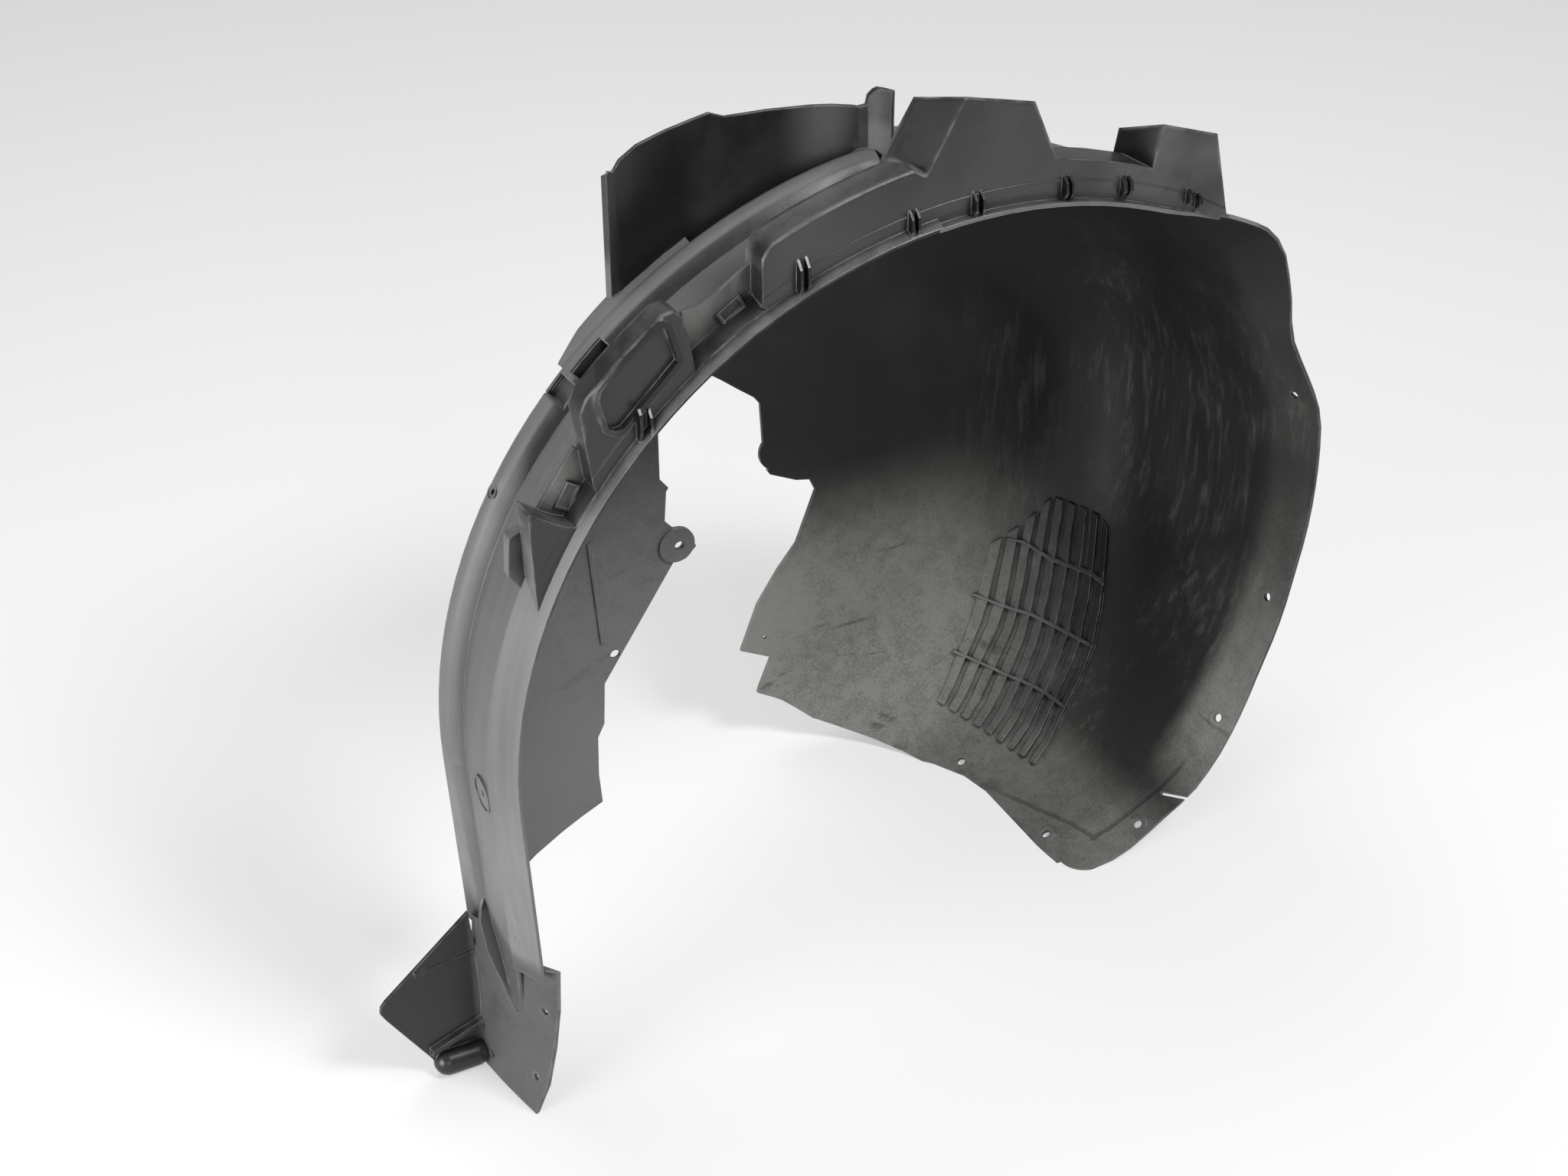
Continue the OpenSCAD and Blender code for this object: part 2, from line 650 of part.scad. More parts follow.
// section of a thin cross rib
function tie(g, t) = [
  field(g, t + 0.006, -1.5), field(g, t - 0.006, -1.5),
  field(g, t - 0.006, slat_h + 0.5), field(g, t + 0.006, slat_h + 0.5)
];

module louvres() {
  for (g = [0 : slat_n - 1]) {
    tube([for (i = [0 : 8]) slat(g, i / 8)]);
  }
  for (c = cross_rows) {
    tube([for (i = [0 : 7]) let(g = c[0][0] + (9 - c[0][0]) * i / 7) tie(g, lookup(g, c))]);
  }
}

// wheel angle and distance from the lip plane of the fixing holes in the front flange
flange_holes = [[18.4, 80], [-13.8, 81], [-33.2, 78], [-52, 72], [-62.8, 119], [-64.8, 250]];

module bowl() {
  difference() {
    union() {
      intersection() {
        bowl_solid();
        plate(-1, bowl_depth + 1) polygon(bowl_outline);
      }
      plate(bowl_depth - wall_t, bowl_depth) translate([9, 9]) circle(r = 20);
      for (h = flange_holes) hole_pad(h[0], h[1]);
      louvres();
    }
    // the rear strip takes over here
    translate([-300 * grow, -1, 0]) cube([250 * grow, strip_w - 2, 500 * grow]);
    for (h = flange_holes) hole_bore(h[0], h[1]);
    // slit between the side flange and the bottom flange
    rotate([0, 44.9, 0])
      translate([340 * grow, edge_set, 0])
        rotate([-31, 0, 0])
          translate([0, -12, -1.4]) cube([70, 34, 2.8]);
    // rounded front corner of the bottom flange
    translate([corner_x, edge_set - 6, -foot_drop - 1]) {
      difference() {
        translate([-30, 0, 0]) cube([52, 28, 40]);
        translate([22, 28, -1]) cylinder(r = 22, h = 42);
      }
    }
    // nothing reaches below the level the part stands on
    translate([0, -1, -foot_drop - 80]) cube([500 * grow, bowl_depth + 2, 80]);
    plate(bowl_depth - 20, bowl_depth + 20) translate([-6 * grow, level(-193)]) circle(r = 2);
  }
}

function pad_slope(a, y) = atan2(bowl_at(a, y - 5)[0] - bowl_at(a, y + 5)[0], 10 * cos(a));

module hole_pad(a, y) {
  p = bowl_at(a, y);
  translate(p)
    rotate([0, -a, 0])
      rotate([0, 90, 0])
        rotate([-pad_slope(a, y), 0, 0])
          translate([0, 0, -0.5]) cylinder(r = pad_r, h = 4);
}

module hole_bore(a, y) {
  p = bowl_at(a, y);
  translate(p)
    rotate([0, -a, 0])
      rotate([0, 90, 0])
        rotate([-pad_slope(a, y), 0, 0])
          translate([0, 0, -10]) cylinder(r = hole_r, h = 30);
}

module arch_liner() {
  color([0.08, 0.08, 0.085])
    difference() {
      union() {
        arch_strip();
        bowl();
        rim_solid();
      }
      rim_core();
    }
  color([0.08, 0.08, 0.085]) translate([-reach, 0, 0]) foot();
  color([0.08, 0.08, 0.085]) translate([-reach, 0, 0]) flap();
  color([0.08, 0.08, 0.085]) web();
  color([0.08, 0.08, 0.085]) collar();
}

arch_liner();
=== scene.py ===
"""Front wheel arch liner: the moulded shell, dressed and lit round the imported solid.

Metres throughout. The origin is the wheel axis at the outboard lip plane, +X is towards the
front of the car, +Y is inboard and +Z is up.
"""
import logging
import math
from abc import ABC, abstractmethod
from dataclasses import dataclass
from enum import Enum
from typing import Union

import bmesh
import bpy
from mathutils import Matrix, Vector


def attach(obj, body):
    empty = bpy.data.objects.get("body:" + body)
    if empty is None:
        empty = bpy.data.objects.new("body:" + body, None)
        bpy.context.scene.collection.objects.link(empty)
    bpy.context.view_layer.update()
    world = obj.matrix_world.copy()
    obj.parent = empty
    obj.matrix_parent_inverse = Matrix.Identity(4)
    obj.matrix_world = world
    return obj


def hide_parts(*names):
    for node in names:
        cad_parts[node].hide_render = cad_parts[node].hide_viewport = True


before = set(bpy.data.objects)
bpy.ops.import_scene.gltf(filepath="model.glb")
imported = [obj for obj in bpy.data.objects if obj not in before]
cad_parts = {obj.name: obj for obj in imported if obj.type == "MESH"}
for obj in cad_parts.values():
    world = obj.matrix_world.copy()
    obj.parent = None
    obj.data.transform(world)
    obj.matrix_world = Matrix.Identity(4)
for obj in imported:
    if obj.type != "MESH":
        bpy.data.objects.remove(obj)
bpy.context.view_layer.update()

LOG = logging.getLogger("wheel_arch_liner")
BODY = "root"
NODE = "arch_liner"

Colour = tuple[float, float, float]
Point = tuple[float, float, float]
# where a zone has faded to nothing and where it is full, in metres or as a share
Span = tuple[float, float]


class Side(Enum):
    """Which way a stretch of the moulded wall looks."""

    OUTER = 0
    TYRE = 1


class Value:
    """One output socket, with the arithmetic of Math nodes."""

    def __init__(self, tree: "Tree", socket: bpy.types.NodeSocket) -> None:
        """Keeps the socket and the tree that new nodes go to.

        Args:
            tree: the tree that the socket belongs to.
            socket: the output socket.
        """
        self.tree = tree
        self.socket = socket

    def beside(self, name: str) -> "Value":
        """Another output of the same node."""
        return Value(self.tree, self.socket.node.outputs[name])

    def math(self, operation: str, *others: "Operand") -> "Value":
        """Adds a Math node whose first input is this value.

        Args:
            operation: the Math node's operation.
            others: its other inputs.

        Returns:
            The node's result.
        """
        inputs = {0: self}
        inputs.update({i + 1: other for i, other in enumerate(others)})
        return self.tree.add("ShaderNodeMath", {"operation": operation}, inputs)

    def __add__(self, other: "Operand") -> "Value":
        """Sum."""
        return self.math("ADD", other)

    def __radd__(self, other: "Operand") -> "Value":
        """Sum, reflected."""
        return self.math("ADD", other)

    def __sub__(self, other: "Operand") -> "Value":
        """Difference."""
        return self.math("SUBTRACT", other)

    def __rsub__(self, other: "Operand") -> "Value":
        """Difference, reflected."""
        return self.math("MULTIPLY", -1.0) + other

    def __mul__(self, other: "Operand") -> "Value":
        """Product."""
        return self.math("MULTIPLY", other)

    def __pow__(self, other: "Operand") -> "Value":
        """Power."""
        return self.math("POWER", other)

    def __abs__(self) -> "Value":
        """Size without the sign."""
        return self.math("ABSOLUTE")

    def most(self, other: "Operand") -> "Value":
        """The larger of two values."""
        return self.math("MAXIMUM", other)

    def between(self, low: float, high: float) -> "Value":
        """Smooth step from 0 at low to 1 at high, or falling where low is above high.

        Args:
            low: where the step starts.
            high: where the step ends.

        Returns:
            The step, from 0 to 1.
        """
        start, end, first, last = (low, high, 0.0, 1.0) if low < high else (high, low, 1.0, 0.0)
        return self.tree.add(
            "ShaderNodeMapRange",
            {"interpolation_type": "SMOOTHSTEP", "clamp": True},
            {"Value": self, "From Min": start, "From Max": end, "To Min": first, "To Max": last},
        )

    def at_least(self, least: float) -> "Value":
        """A share of 0 to 1 squeezed to run from least to 1."""
        return self * (1.0 - least) + least

    def capped(self) -> "Value":
        """The value held between 0 and 1."""
        return self.tree.add("ShaderNodeClamp", {}, {"Value": self, "Min": 0.0, "Max": 1.0})


Operand = Union[Value, float, int]
Given = Union[Value, float, tuple]


@dataclass(frozen=True)
class Cloud:
    """One noise pattern: clouds in a metre, finer layers and their strength, and distortion."""

    scale: float
    detail: float = 4.0
    rough: float = 0.55
    bend: float = 0.0


class Tree:
    """The node tree of one material, or of the surroundings."""

    def __init__(self, nodes: bpy.types.NodeTree, output: str = "ShaderNodeOutputMaterial") -> None:
        """Empties the tree and adds its output.

        Args:
            nodes: the node tree to build in.
            output: the type of its output node.
        """
        self.nodes = nodes.nodes
        self.links = nodes.links
        self.nodes.clear()
        self.output = self.nodes.new(output)

    def add(self, kind: str, settings: dict, inputs: dict, result: Union[int, str] = 0) -> Value:
        """Adds a node, sets it, then fills or links its inputs.

        Args:
            kind: the node's type.
            settings: attributes that are set first.
            inputs: socket name or index to a value, a tuple or another node's Value.
            result: the output to hand back.

        Returns:
            The chosen output.
        """
        node = self.nodes.new(kind)
        for name, setting in settings.items():
            setattr(node, name, setting)
        for name, given in inputs.items():
            socket = node.inputs[name]
            if isinstance(given, Value):
                self.links.new(given.socket, socket)
            else:
                socket.default_value = given
        return Value(self, node.outputs[result])

    def finish(self, shader: Value) -> None:
        """Joins the last shader to the output."""
        self.links.new(shader.socket, self.output.inputs["Surface"])

    def parts(self, vector: Value) -> tuple[Value, Value, Value]:
        """The three components of a vector."""
        x = self.add("ShaderNodeSeparateXYZ", {}, {"Vector": vector}, "X")
        return x, x.beside("Y"), x.beside("Z")

    def join(self, x: Operand, y: Operand, z: Operand) -> Value:
        """A vector made of three values."""
        return self.add("ShaderNodeCombineXYZ", {}, {"X": x, "Y": y, "Z": z}, "Vector")

    def noise(self, vector: Value, cloud: Cloud) -> Value:
        """Cloudy noise from 0 to 1.

        Args:
            vector: where it is read.
            cloud: the pattern.

        Returns:
            The noise.
        """
        return self.add(
            "ShaderNodeTexNoise",
            {"noise_dimensions": "3D"},
            {
                "Vector": vector,
                "Scale": cloud.scale,
                "Detail": cloud.detail,
                "Roughness": cloud.rough,
                "Distortion": cloud.bend,
            },
        )

    def scaled(self, vector: Value, factor: Point) -> Value:
        """A vector multiplied by three numbers, component by component."""
        return self.add("ShaderNodeVectorMath", {"operation": "MULTIPLY"}, {0: vector, 1: factor}, "Vector")

    def mix(self, amount: Operand, first: Given, second: Given) -> Value:
        """A colour between two others.

        Args:
            amount: 0 for the first colour, 1 for the second.
            first: colour or link.
            second: colour or link.

        Returns:
            The mixed colour.
        """
        ends = [given if isinstance(given, Value) else (*given, 1.0) for given in (first, second)]
        return self.add("ShaderNodeMix", {"data_type": "RGBA"}, {0: amount, 6: ends[0], 7: ends[1]}, 2)


@dataclass(frozen=True)
class Spot:
    """A point on the wall as links: where it is and which way the wall faces there."""

    tree: Tree
    place: Value
    x: Value
    y: Value
    z: Value
    radius: Value
    angle: Value
    facing_x: Value
    facing_y: Value
    facing_z: Value

    @classmethod
    def on(cls, tree: Tree) -> "Spot":
        """Reads the object's own point and normal.

        Args:
            tree: the tree that gets the nodes.

        Returns:
            The spot, with its radius and angle about the wheel axis.
        """
        place = tree.add("ShaderNodeTexCoord", {}, {}, "Object")
        facing = tree.parts(tree.add("ShaderNodeTexCoord", {}, {}, "Normal"))
        x, y, z = tree.parts(place)
        return cls(tree, place, x, y, z, (x * x + z * z) ** 0.5, z.math("ARCTAN2", x), *facing)


@dataclass(frozen=True)
class Skin:
    """What one stretch of the wall looks like: links for its colour and its roughness."""

    colour: Value
    rough: Value


@dataclass(frozen=True)
class MouldedPlastic(ABC):
    """Black injection-moulded plastic with soft corners, fine grain, rubbed edges that carry a painted
    highlight and painted shade in the crevices.
    """

    name: str
    reflect: float
    # radius of the shaded corners, and of those of the blocks and towers
    corner: float = 0.0018
    wide_corner: float = 0.0055
    wide_radius: Span = (0.424, 0.430)
    wide_y: Span = (0.060, 0.050)
    corner_samples: int = 8
    # edges rubbed pale, partly a painted highlight on the corners: how far the shaded normal turns, the
    # patches and the strength
    rub_highlight_tone: Colour = (0.200, 0.202, 0.205)
    rub_highlight_turn: Span = (0.0, 0.20)
    rub_highlight_patch: Cloud = Cloud(60.0, 3.0)
    rub_highlight_share: Span = (0.3, 0.7)
    rub_highlight_strength: float = 0.75
    # painted shade in the crevices, from ambient occlusion
    crevice_shade_tone: Colour = (0.006, 0.006, 0.006)
    crevice_depth: float = 0.014
    crevice_open: Span = (0.80, 0.30)
    crevice_cover: float = 0.85
    crevice_samples: int = 6
    # moulded grain and the slight waviness of the wall
    grain: Cloud = Cloud(1100.0, 2.0, 0.6)
    grain_height: float = 0.00009
    ripple: Cloud = Cloud(14.0, 2.0, 0.4)
    ripple_height: float = 0.0007

    @abstractmethod
    def skin(self, spot: Spot) -> Skin:
        """The colour and roughness at a spot."""

    @abstractmethod
    def step(self, spot: Spot) -> Value:
        """Height of the fine steps moulded into the face, in metres."""

    def wears(self, spot: Spot) -> Operand:
        """How far edges soften and rub pale with a painted highlight there, from 0 to 1."""
        return 1.0

    def build(self) -> bpy.types.Material:
        """Makes the material.

        Returns:
            The finished material.
        """
        material = bpy.data.materials.new(self.name)
        material.use_nodes = True
        tree = Tree(material.node_tree)
        spot = Spot.on(tree)
        wears = self.wears(spot)
        high = spot.radius.between(*self.wide_radius) * spot.y.between(*self.wide_y)
        width = (high * (self.wide_corner - self.corner) + self.corner) * wears
        sampling = {"samples": self.corner_samples}
        soft_normal = tree.add("ShaderNodeBevel", sampling, {"Radius": width}, "Normal")
        skin = self.skin(spot)
        # painted shade darkens the crevices
        crevice_shaded = tree.mix(self.crevice_shade(tree), skin.colour, self.crevice_shade_tone)
        # corners rubbed pale as wear and lit by a painted highlight
        colour = tree.mix(self.rub_highlight(spot, soft_normal) * wears, crevice_shaded, self.rub_highlight_tone)
        grain = tree.noise(spot.place, self.grain) * self.grain_height
        ripple = tree.noise(spot.place, self.ripple) * self.ripple_height
        height = grain + ripple + self.step(spot)
        relief = {"Strength": 1.0, "Distance": 1.0, "Height": height, "Normal": soft_normal}
        bump = tree.add("ShaderNodeBump", {}, relief, "Normal")
        finish = {
            "Specular IOR Level": self.reflect,
            "Base Color": colour,
            "Roughness": skin.rough,
            "Normal": bump,
        }
        tree.finish(tree.add("ShaderNodeBsdfPrincipled", {}, finish, "BSDF"))
        return material

    def rub_highlight(self, spot: Spot, soft_normal: Value) -> Value:
        """How far corners are rubbed pale and lit by a painted highlight.

        Args:
            spot: the point on the wall.
            soft_normal: the normal with rounded corners.

        Returns:
            0 on flat faces, more on corners, in patches.
        """
        tree = spot.tree
        true_normal = tree.add("ShaderNodeNewGeometry", {}, {}, "Normal")
        dot = {"operation": "DOT_PRODUCT"}
        turned = tree.add("ShaderNodeVectorMath", dot, {0: soft_normal, 1: true_normal}, "Value")
        patches = tree.noise(spot.place, self.rub_highlight_patch).between(*self.rub_highlight_share)
        return (1.0 - turned).between(*self.rub_highlight_turn) * patches * self.rub_highlight_strength

    def crevice_shade(self, tree: Tree) -> Value:
        """How much painted shade lies in a crevice.

        Args:
            tree: the tree that gets the nodes.

        Returns:
            0 in the open, more in a crevice.
        """
        settings = {"samples": self.crevice_samples, "only_local": True}
        open_to = tree.add("ShaderNodeAmbientOcclusion", settings, {"Distance": self.crevice_depth}, "AO")
        return open_to.between(*self.crevice_open) * self.crevice_cover


@dataclass(frozen=True)
class OuterZones:
    """Where each finish of the outboard side fades in."""

    # collar above the arch, and its painted sheen band
    collar_y: Span = (0.095, 0.101)
    collar_radius: Span = (0.404, 0.410)
    collar_x: Span = (0.05, -0.02)
    upright: Span = (0.35, 0.60)
    sheen_rear_x: Span = (-0.120, -0.082)
    sheen_front_x: Span = (-0.052, -0.080)
    # triangular flap beside the foot, darker towards its top as painted shade
    flap_x: Span = (-0.409, -0.414)
    flap_z: Span = (-0.34, -0.16)
    # sides of the blocks and towers that face the rear, darkened as painted shade
    rear_turn: Span = (-0.35, -0.60)
    rear_radius: Span = (0.424, 0.430)
    tower_turn: Span = (-0.55, -0.80)
    tower_radius: Span = (0.428, 0.436)
    rim_y: Span = (0.060, 0.050)
    # faces that look outboard: the front end of the rim, the pockets and the ledge
    front_turn: Span = (-0.75, -0.90)
    front_x: Span = (0.06, 0.15)
    front_y: Span = (0.016, 0.012)
    pocket_near_y: Span = (0.020, 0.024)
    pocket_far_y: Span = (0.046, 0.038)
    ledge_rear_x: Span = (-0.20, -0.17)
    ledge_front_x: Span = (0.13, 0.10)
    # faces that look up
    top_turn: Span = (0.25, 0.95)
    # arch strip and leg
    leg_z: Span = (0.24, 0.20)
    leg_x: Span = (-0.20, -0.24)
    strip_y: Span = (0.020, 0.034)
    strip_radius: Span = (0.440, 0.425)
    strip_turn: Span = (-0.80, -0.55)
    arch_x: Span = (-0.036, -0.048)
    arch_y: Span = (0.150, 0.145)
    arch_turn: Span = (0.85, 0.70)
    arch_top_z: Span = (0.10, 0.30)
    ridge_radius: Span = (0.4040, 0.4080)
    leg_low_z: Span = (0.06, -0.12)
    leg_edge_y: Span = (0.034, 0.020)
    # foot
    foot_z: Span = (-0.155, -0.175)
    foot_x: Span = (-0.415, -0.408)
    foot_y: Span = (0.100, 0.092)
    # lip, the narrow band along it and the fins, which are darkened as painted shade
    lip_y: Span = (0.010, 0.006)
    lip_over: Span = (0.004, 0.001)
    band_over: Span = (0.0150, 0.0125)
    band_turn: Span = (-0.7, -0.85)
    band_y: Span = (0.014, 0.011)
    fin_y: Span = (0.0076, 0.0070)
    fin_radius: Span = (0.3935, 0.3950)
    fin_x: Span = (-0.30, -0.29)


@dataclass(frozen=True)
class OuterSkin(MouldedPlastic):
    """The side seen from outboard: black blocks and collar, a strip greyed by weather."""

    reflect: float = 0.45
    zone: OuterZones = OuterZones()
    lip_radius: float = 0.390
    band_height: float = 0.0011
    black: Colour = (0.0165, 0.0172, 0.0180)
    # darker black: cleaner plastic on the collar, painted shade on the flap and the rear-facing sides
    clean_and_shade: Colour = (0.006, 0.0062, 0.0065)
    bloom: Colour = (0.136, 0.138, 0.141)
    chalk: Colour = (0.225, 0.227, 0.230)
    # painted sheen on a band of the collar
    painted_sheen: Colour = (0.075, 0.076, 0.078)
    lip: Colour = (0.150, 0.152, 0.155)
    # painted shade on the fins
    fin_shade: Colour = (0.004, 0.004, 0.004)
    foot: Colour = (0.074, 0.074, 0.077)
    stain: Colour = (0.050, 0.050, 0.051)
    dust: Colour = (0.110, 0.108, 0.104)
    # patterns: brush marks that run along the arch, clouds, mottling and specks
    along: float = 0.02
    brushing: Cloud = Cloud(160.0, 4.0, 0.6)
    clouding: Cloud = Cloud(9.0, 4.0, 0.6, 0.4)
    mottling: Cloud = Cloud(55.0, 5.0, 0.65)
    specks: Cloud = Cloud(420.0, 2.0, 0.5)
    speck_share: Span = (0.64, 0.76)
    mottle_share: Span = (0.35, 0.75)
    face_share: Span = (0.30, 0.62)
    stain_share: Span = (0.36, 0.52)
    # shares of each finish
    flap_least: float = 0.4
    rear_shade: float = 0.75
    sheen_least: float = 0.6
    top_dust: float = 0.30
    speck_dust: float = 0.05
    face_dust: float = 0.42
    pocket_dust: float = 3.4
    ledge_dust: float = 0.35
    arch_least: float = 0.84
    leg_turn: float = 0.18
    bloom_base: float = 0.42
    bloom_cloud: float = 0.35
    bloom_brush: float = 0.45
    ridge_chalk: float = 0.28
    ridge_base: float = 0.75
    ridge_brush: float = 0.5
    low_chalk: float = 0.98
    edge_chalk: float = 0.30
    edge_base: float = 0.5
    foot_cloud: float = 0.6
    lip_base: float = 0.20
    lip_mottle: float = 0.6
    # roughness of the clean plastic, and what each finish adds
    rough: float = 0.22
    rough_bloom: float = 0.29
    rough_dust: float = 0.25
    rough_mottle: float = 0.14
    rough_foot: float = 0.18
    rough_rear: float = 0.25

    def skin(self, spot: Spot) -> Skin:
        """Blocks, collar, strip, foot and lip, each with its own wear, and painted shade on the fins and rear
        sides and a painted sheen on the collar.

        Args:
            spot: the point on the wall.

        Returns:
            The skin.
        """
        tree, zone = spot.tree, self.zone
        brushed = tree.noise(tree.join(spot.y, spot.radius, spot.angle * self.along), self.brushing)
        cloud = tree.noise(spot.place, self.clouding)
        fine = tree.noise(spot.place, self.mottling)
        settled = self.settled(spot, fine)
        dusty = (settled + self.on_face(spot, cloud)).capped()
        dusted = tree.mix(dusty, self.black_shade_and_sheen(spot, cloud), self.dust)

        on_leg = spot.z.between(*zone.leg_z) * spot.x.between(*zone.leg_x)
        patches = cloud * self.bloom_cloud + brushed * self.bloom_brush + self.bloom_base
        bloom = (self.on_strip(spot, on_leg) * patches).capped()
        weathered = tree.mix(self.chalked(spot, on_leg, brushed), self.bloom, self.chalk)
        greyed = tree.mix(bloom, dusted, weathered)

        on_foot = spot.z.between(*zone.foot_z) * spot.x.between(*zone.foot_x)
        stains = (cloud * self.foot_cloud + fine * (1.0 - self.foot_cloud)).between(*self.stain_share)
        foot = tree.mix(stains, self.stain, self.foot)
        footed = tree.mix(on_foot * spot.y.between(*zone.foot_y), greyed, foot)

        at_lip = spot.radius.between(*self.over_lip(zone.lip_over)) * spot.y.between(*zone.lip_y)
        lipped = tree.mix((at_lip * (self.lip_base + fine * self.lip_mottle)).capped(), footed, self.lip)
        # the fins darkened to near black as painted shade
        fin_shaded = tree.mix(self.on_fin(spot), lipped, self.fin_shade)

        rough = self.rough + bloom * self.rough_bloom + settled * self.rough_dust + fine * self.rough_mottle
        rough = rough + on_foot * self.rough_foot + self.rear_side(spot) * self.rough_rear
        return Skin(fin_shaded, rough.capped())

    def over_lip(self, span: Span) -> Span:
        """A span given over the lip's radius, as radii."""
        return self.lip_radius + span[0], self.lip_radius + span[1]

    def rear_side(self, spot: Spot) -> Value:
        """The sides of the blocks that face the rear, darkened as painted shade.

        Args:
            spot: the point on the wall.

        Returns:
            The share of painted shade there.
        """
        rim = spot.radius.between(*self.zone.rear_radius) * spot.y.between(*self.zone.rim_y)
        return spot.facing_x.between(*self.zone.rear_turn) * rim * self.rear_shade

    def black_shade_and_sheen(self, spot: Spot, cloud: Value) -> Value:
        """Black plastic, cleaner on the collar, darker on the flap and the rear sides as painted shade, with
        a painted sheen band on the collar.

        Args:
            spot: the point on the wall.
            cloud: the cloudy noise.

        Returns:
            The colour.
        """
        tree, zone = spot.tree, self.zone
        collar = spot.y.between(*zone.collar_y) * spot.radius.between(*zone.collar_radius)
        on_collar = collar * abs(spot.facing_y).between(*zone.upright) * spot.x.between(*zone.collar_x)
        on_flap = spot.x.between(*zone.flap_x) * spot.z.between(*zone.flap_z).at_least(self.flap_least)
        tower = spot.radius.between(*zone.tower_radius) * spot.y.between(*zone.rim_y)
        on_tower = spot.facing_x.between(*zone.tower_turn) * tower
        clean_and_shade = (on_collar + on_flap + self.rear_side(spot) + on_tower).capped()
        # painted sheen: a band across the collar
        sheen_band = on_collar * spot.x.between(*zone.sheen_rear_x) * spot.x.between(*zone.sheen_front_x)
        # darker on the collar as cleaner plastic, on the flap and rear-facing sides as painted shade
        cleaned_and_shaded = tree.mix(clean_and_shade, self.black, self.clean_and_shade)
        return tree.mix(sheen_band * cloud.at_least(self.sheen_least), cleaned_and_shaded, self.painted_sheen)

    def settled(self, spot: Spot, fine: Value) -> Value:
        """Dust that settles on faces that look up, and specks everywhere.

        Args:
            spot: the point on the wall.
            fine: the mottled noise.

        Returns:
            The share of dust.
        """
        specks = spot.tree.noise(spot.place, self.specks).between(*self.speck_share)
        on_top = spot.facing_z.between(*self.zone.top_turn) * fine.between(*self.mottle_share)
        return on_top * self.top_dust + specks * self.speck_dust

    def on_face(self, spot: Spot, cloud: Value) -> Value:
        """Dust on the faces that look outboard.

        Args:
            spot: the point on the wall.
            cloud: the cloudy noise.

        Returns:
            The share of dust.
        """
        zone = self.zone
        front = spot.x.between(*zone.front_x) * spot.y.between(*zone.front_y)
        pocket = spot.y.between(*zone.pocket_near_y) * spot.y.between(*zone.pocket_far_y)
        ledge = spot.x.between(*zone.ledge_rear_x) * spot.x.between(*zone.ledge_front_x)
        faces = front + pocket * self.pocket_dust + ledge * self.ledge_dust
        patches = cloud.between(*self.face_share)
        return spot.facing_y.between(*zone.front_turn) * faces * patches * self.face_dust

    def on_strip(self, spot: Spot, on_leg: Value) -> Value:
        """The greyed strip of the arch and the leg.

        Args:
            spot: the point on the wall.
            on_leg: 1 on the leg.

        Returns:
            1 on the strip, a little less low down and 0 elsewhere.
        """
        zone = self.zone
        arch = spot.x.between(*zone.arch_x) * spot.y.between(*zone.arch_y)
        arch = arch * spot.facing_y.between(*zone.arch_turn)
        strip = spot.y.between(*zone.strip_y).most(on_leg) * arch * spot.radius.between(*zone.strip_radius)
        turned = (spot.facing_y + on_leg * self.leg_turn).between(*zone.strip_turn)
        return strip * turned * spot.z.between(*zone.arch_top_z).at_least(self.arch_least)

    def chalked(self, spot: Spot, on_leg: Value, brushed: Value) -> Value:
        """Where the leg has gone chalky: its ridge, its foot end and its outboard edge.

        Args:
            spot: the point on the wall.
            on_leg: 1 on the leg.
            brushed: the brush marks.

        Returns:
            The share of chalk.
        """
        zone = self.zone
        marks = brushed * self.ridge_brush + self.ridge_base
        ridge = spot.radius.between(*zone.ridge_radius) * marks * self.ridge_chalk
        edge = spot.y.between(*zone.leg_edge_y) * self.edge_chalk * (brushed + self.edge_base)
        low = spot.z.between(*zone.leg_low_z) * self.low_chalk + edge
        return (ridge.most(low) * on_leg).capped()

    def on_fin(self, spot: Spot) -> Value:
        """The fins that stand in front of the faces.

        Args:
            spot: the point on the wall.

        Returns:
            1 on the fins and 0 elsewhere.
        """
        over_lip = spot.radius.between(*self.zone.fin_radius) * spot.x.between(*self.zone.fin_x)
        return spot.y.between(*self.zone.fin_y) * over_lip

    def wears(self, spot: Spot) -> Operand:
        """Edges soften and rub pale, with a painted highlight, everywhere but on the fins."""
        return 1.0 - self.on_fin(spot)

    def step(self, spot: Spot) -> Value:
        """Height of the lip band over the faces above it.

        Args:
            spot: the point on the wall.

        Returns:
            The height in metres.
        """
        front = spot.facing_y.between(*self.zone.band_turn) * spot.y.between(*self.zone.band_y)
        return spot.radius.between(*self.over_lip(self.zone.band_over)) * front * self.band_height


@dataclass(frozen=True)
class TyreZones:
    """Where each cover of the tyre side fades in."""

    # lower rear of the bowl, and the bowl's back wall
    low_z: Span = (-0.01, -0.16)
    rear_x: Span = (0.33, 0.16)
    back_y: Span = (0.20, 0.32)
    # band along the floor of the bowl
    floor_z: Span = (-0.205, -0.275)
    floor_lift_x: Span = (0.15, 0.27)
    floor_rear_x: Span = (0.36, 0.14)
    floor_end_x: Span = (0.16, 0.06)
    # front flange
    flange_x: Span = (0.25, 0.31)
    flange_y: Span = (0.125, 0.095)
    flange_high_z: Span = (0.30, -0.05)
    flange_low_z: Span = (0.06, -0.22)
    # inboard plate of the rear half
    plate_x: Span = (-0.15, -0.19)
    plate_z: Span = (0.28, 0.00)
    plate_low_z: Span = (0.04, -0.08)
    # splashes at the front of the bowl
    splash_x: Span = (0.17, 0.27)
    splash_z: Span = (0.25, 0.05)
    # fold line of the bottom flange
    fold_width: Span = (0.0030, 0.0008)
    fold_front_x: Span = (0.190, 0.196)
    fold_rear_y: Span = (0.082, 0.090)
    fold_fade_y: Span = (0.24, 0.16)
    fold_z: Span = (-0.24, -0.26)


